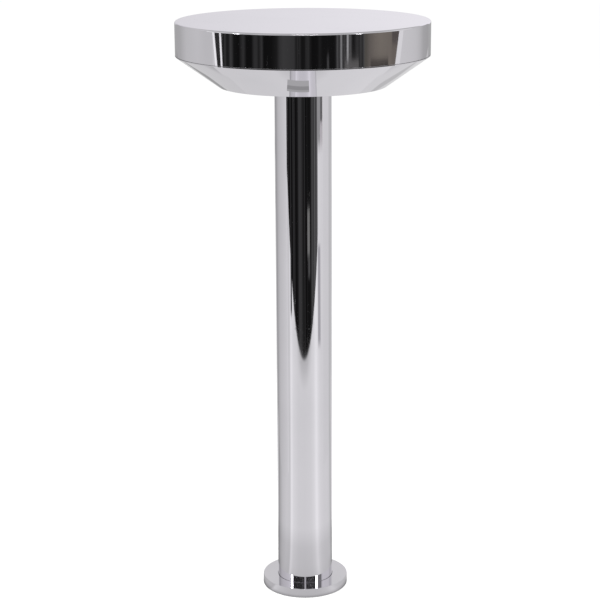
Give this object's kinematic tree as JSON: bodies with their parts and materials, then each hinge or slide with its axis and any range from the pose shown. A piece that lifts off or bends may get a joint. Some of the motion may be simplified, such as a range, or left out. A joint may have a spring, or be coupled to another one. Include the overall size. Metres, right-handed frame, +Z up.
{
  "type": "pedestal garden torch",
  "caption": "Round-headed pedestal oil torch in mirror-polished steel: closed lid over a shallow conical bowl, tube column and small round base cover.",
  "frame": {"origin": "centre of the foot, on the ground", "axes": "+Z up along the column; -Y is the side seen in front"},
  "size_m": [0.2796, 0.2796, 0.661],
  "materials": {
    "polished_steel": "mirror polished sheet steel",
    "satin_steel": "satin stainless steel",
    "zinc_steel": "bright zinc plated steel",
    "tin_plate": "tin plated sheet",
    "brass": "turned brass",
    "black_rubber": "matt black rubber",
    "grey_silicone": "matt grey silicone",
    "fibre_washer": "red fibre",
    "wick_braid": "braided fibreglass"
  },
  "bodies": {
    "stand": {"base_pad": "black_rubber", "base_plate": "zinc_steel", "base_screws": "zinc_steel", "bottom_plug": "zinc_steel", "column_tube": "polished_steel", "top_plug": "zinc_steel", "column_gasket": "black_rubber", "bowl_shell": "polished_steel", "bowl_hub": "satin_steel", "bowl_screws": "zinc_steel", "plate_ledge": "satin_steel", "rim_seal": "grey_silicone", "canister_cradle": "black_rubber"},
    "cover": {"base_cover": "polished_steel"},
    "canister": {"canister_pan": "tin_plate", "canister_roof": "tin_plate", "neck_ring": "brass", "neck_washer": "fibre_washer"},
    "holder": {"wick_holder": "brass", "wick_tube": "brass"},
    "collar": {"collar_nut": "brass"},
    "wick_body": {"wick": "wick_braid"},
    "plate": {"burner_plate": "satin_steel"},
    "lid": {"lid_shell": "polished_steel", "snuffer_cup": "satin_steel", "lid_studs": "zinc_steel", "snuffer_nuts": "zinc_steel"}
  },
  "joints": [
    {"name": "cover_slide", "type": "slide", "parent": "stand", "child": "cover", "axis": [0, 0, 1], "range_m": [0, 0.08]},
    {"name": "canister_lift", "type": "slide", "parent": "stand", "child": "canister", "axis": [0, 0, 1], "range_m": [0, 0.1]},
    {"name": "holder_rise", "type": "slide", "parent": "canister", "child": "holder", "axis": [0, 0, 1], "range_m": [0, 0.0045]},
    {"name": "collar_turn", "type": "hinge", "parent": "holder", "child": "collar", "pos_m": [0, 0, 0.6367], "axis": [0, 0, 1], "range_deg": [0, 1080]},
    {"name": "wick_raise", "type": "slide", "parent": "holder", "child": "wick_body", "axis": [0, 0, 1], "range_m": [0, 0.0035]},
    {"name": "plate_lift", "type": "slide", "parent": "canister", "child": "plate", "axis": [0, 0, 1], "range_m": [0, 0.06]},
    {"name": "lid_lift", "type": "slide", "parent": "plate", "child": "lid", "axis": [0, 0, 1], "range_m": [0, 0.12]}
  ],
  "couplings": [
    {"joint": "holder_rise", "follows": "collar_turn", "m_per_rad": 0.00023873}
  ]
}
